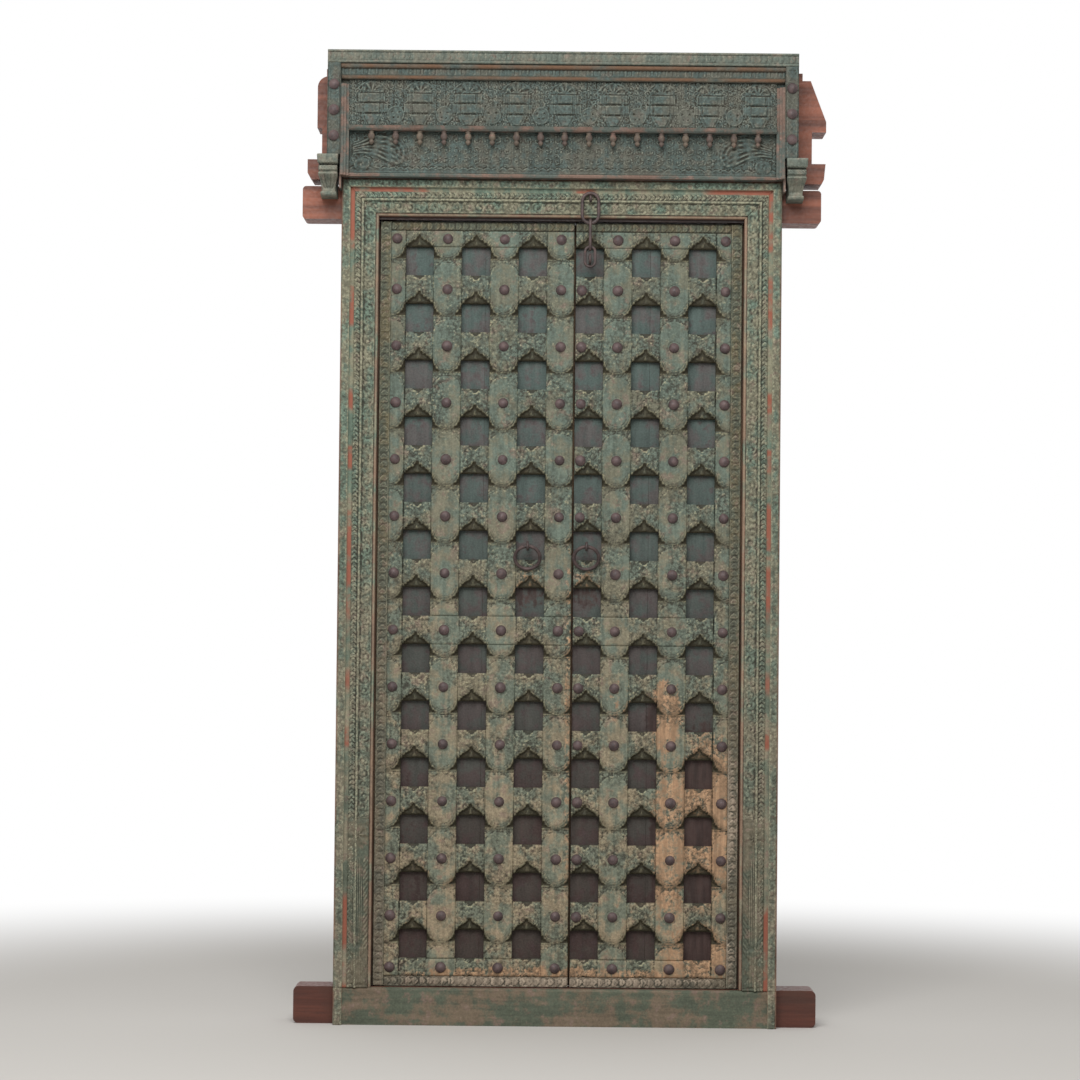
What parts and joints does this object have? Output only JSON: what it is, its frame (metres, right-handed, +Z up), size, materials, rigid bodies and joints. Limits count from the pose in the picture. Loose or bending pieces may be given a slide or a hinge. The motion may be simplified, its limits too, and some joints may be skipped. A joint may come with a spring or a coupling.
{
  "type": "carved double door with frame and cornice",
  "caption": "Two-leaf carved timber door with studded lattice, ring pulls and chain hasp, in a moulded frame with horned beams and a carved cornice.",
  "frame": {"origin": "on the underside of the sill beam, below the middle of the doorway, in the plane of the wall's face", "axes": "X to the right as seen from the carved side, Y into the building, Z up"},
  "size_m": [1.4, 0.226, 2.582],
  "materials": {
    "painted_timber": "carved timber with worn green-grey paint",
    "bare_timber": "oiled red-brown timber",
    "back_timber": "old unpainted timber",
    "threshold": "worn green-brown timber",
    "iron": "forged iron with dark rust"
  },
  "bodies": {
    "frame": {"back_board": "bare_timber", "bottom_bead": "painted_timber", "corbel_left": "painted_timber", "corbel_right": "painted_timber", "cornice_inner_mouldings": "painted_timber", "cornice_stile_left": "painted_timber", "cornice_stile_right": "painted_timber", "cornice_top_rail": "painted_timber", "crown_moulding": "painted_timber", "head_beam": "bare_timber", "head_board": "painted_timber", "jamb_board_left": "painted_timber", "jamb_board_right": "painted_timber", "lintel_staple": "iron", "lower_frieze": "painted_timber", "pendant_rail": "painted_timber", "plinth_panel_left": "painted_timber", "plinth_panel_right": "painted_timber", "post_left": "back_timber", "post_right": "back_timber", "recessed_beam": "bare_timber", "second_beam": "bare_timber", "sill_beam": "bare_timber", "stile_studs": "iron", "threshold_board": "threshold", "turned_pendants": "painted_timber", "upper_beam": "bare_timber", "upper_frieze": "painted_timber"},
    "leaf_left": {"back_ledges_left": "back_timber", "border_strips_left": "painted_timber", "bottom_rail_left": "painted_timber", "cross_battens_left": "painted_timber", "edge_batten_left": "painted_timber", "hinge_stile_left": "back_timber", "meeting_stile": "painted_timber", "planks_left": "back_timber", "ring_eye_left": "iron", "studs_left": "iron", "top_rail_left": "painted_timber", "upright_left_1": "painted_timber", "upright_left_2": "painted_timber"},
    "leaf_right": {"back_ledges_right": "back_timber", "border_strips_right": "painted_timber", "bottom_rail_right": "painted_timber", "cross_battens_right": "painted_timber", "edge_batten_right": "painted_timber", "hasp_staple": "iron", "hinge_stile_right": "back_timber", "meeting_cover": "back_timber", "planks_right": "back_timber", "ring_eye_right": "iron", "studs_right": "iron", "top_rail_right": "painted_timber", "upright_right_1": "painted_timber", "upright_right_2": "painted_timber"},
    "ring_left": {"ring_pull_left": "iron"},
    "ring_right": {"ring_pull_right": "iron"},
    "chain_oval": {"oval_link": "iron"},
    "chain_middle": {"middle_link": "iron"},
    "chain_last": {"last_link": "iron"}
  },
  "joints": [
    {"name": "leaf_left_swing", "type": "hinge", "parent": "frame", "child": "leaf_left", "pos_m": [-0.462, 0.054, 0.098], "axis": [0, 0, 1], "range_deg": [0, 90]},
    {"name": "leaf_right_swing", "type": "hinge", "parent": "frame", "child": "leaf_right", "pos_m": [0.462, 0.054, 0.098], "axis": [0, 0, -1], "range_deg": [0, 90]},
    {"name": "ring_left_lift", "type": "hinge", "parent": "leaf_left", "child": "ring_left", "pos_m": [-0.083, -0.0275, 1.272], "axis": [-1, 0, 0], "range_deg": [0, 180]},
    {"name": "ring_right_lift", "type": "hinge", "parent": "leaf_right", "child": "ring_right", "pos_m": [0.074, -0.0275, 1.272], "axis": [-1, 0, 0], "range_deg": [0, 180]},
    {"name": "oval_link_swing", "type": "hinge", "parent": "frame", "child": "chain_oval", "pos_m": [0.076, -0.036, 2.2149], "axis": [-1, 0, 0], "range_deg": [0, 80]},
    {"name": "middle_link_swing", "type": "hinge", "parent": "chain_oval", "child": "chain_middle", "pos_m": [0.076, -0.036, 2.1341], "axis": [-1, 0, 0], "range_deg": [-8, 50]},
    {"name": "last_link_swing", "type": "hinge", "parent": "chain_middle", "child": "chain_last", "pos_m": [0.076, -0.036, 2.0713], "axis": [-1, 0, 0], "range_deg": [-8, 50]}
  ]
}
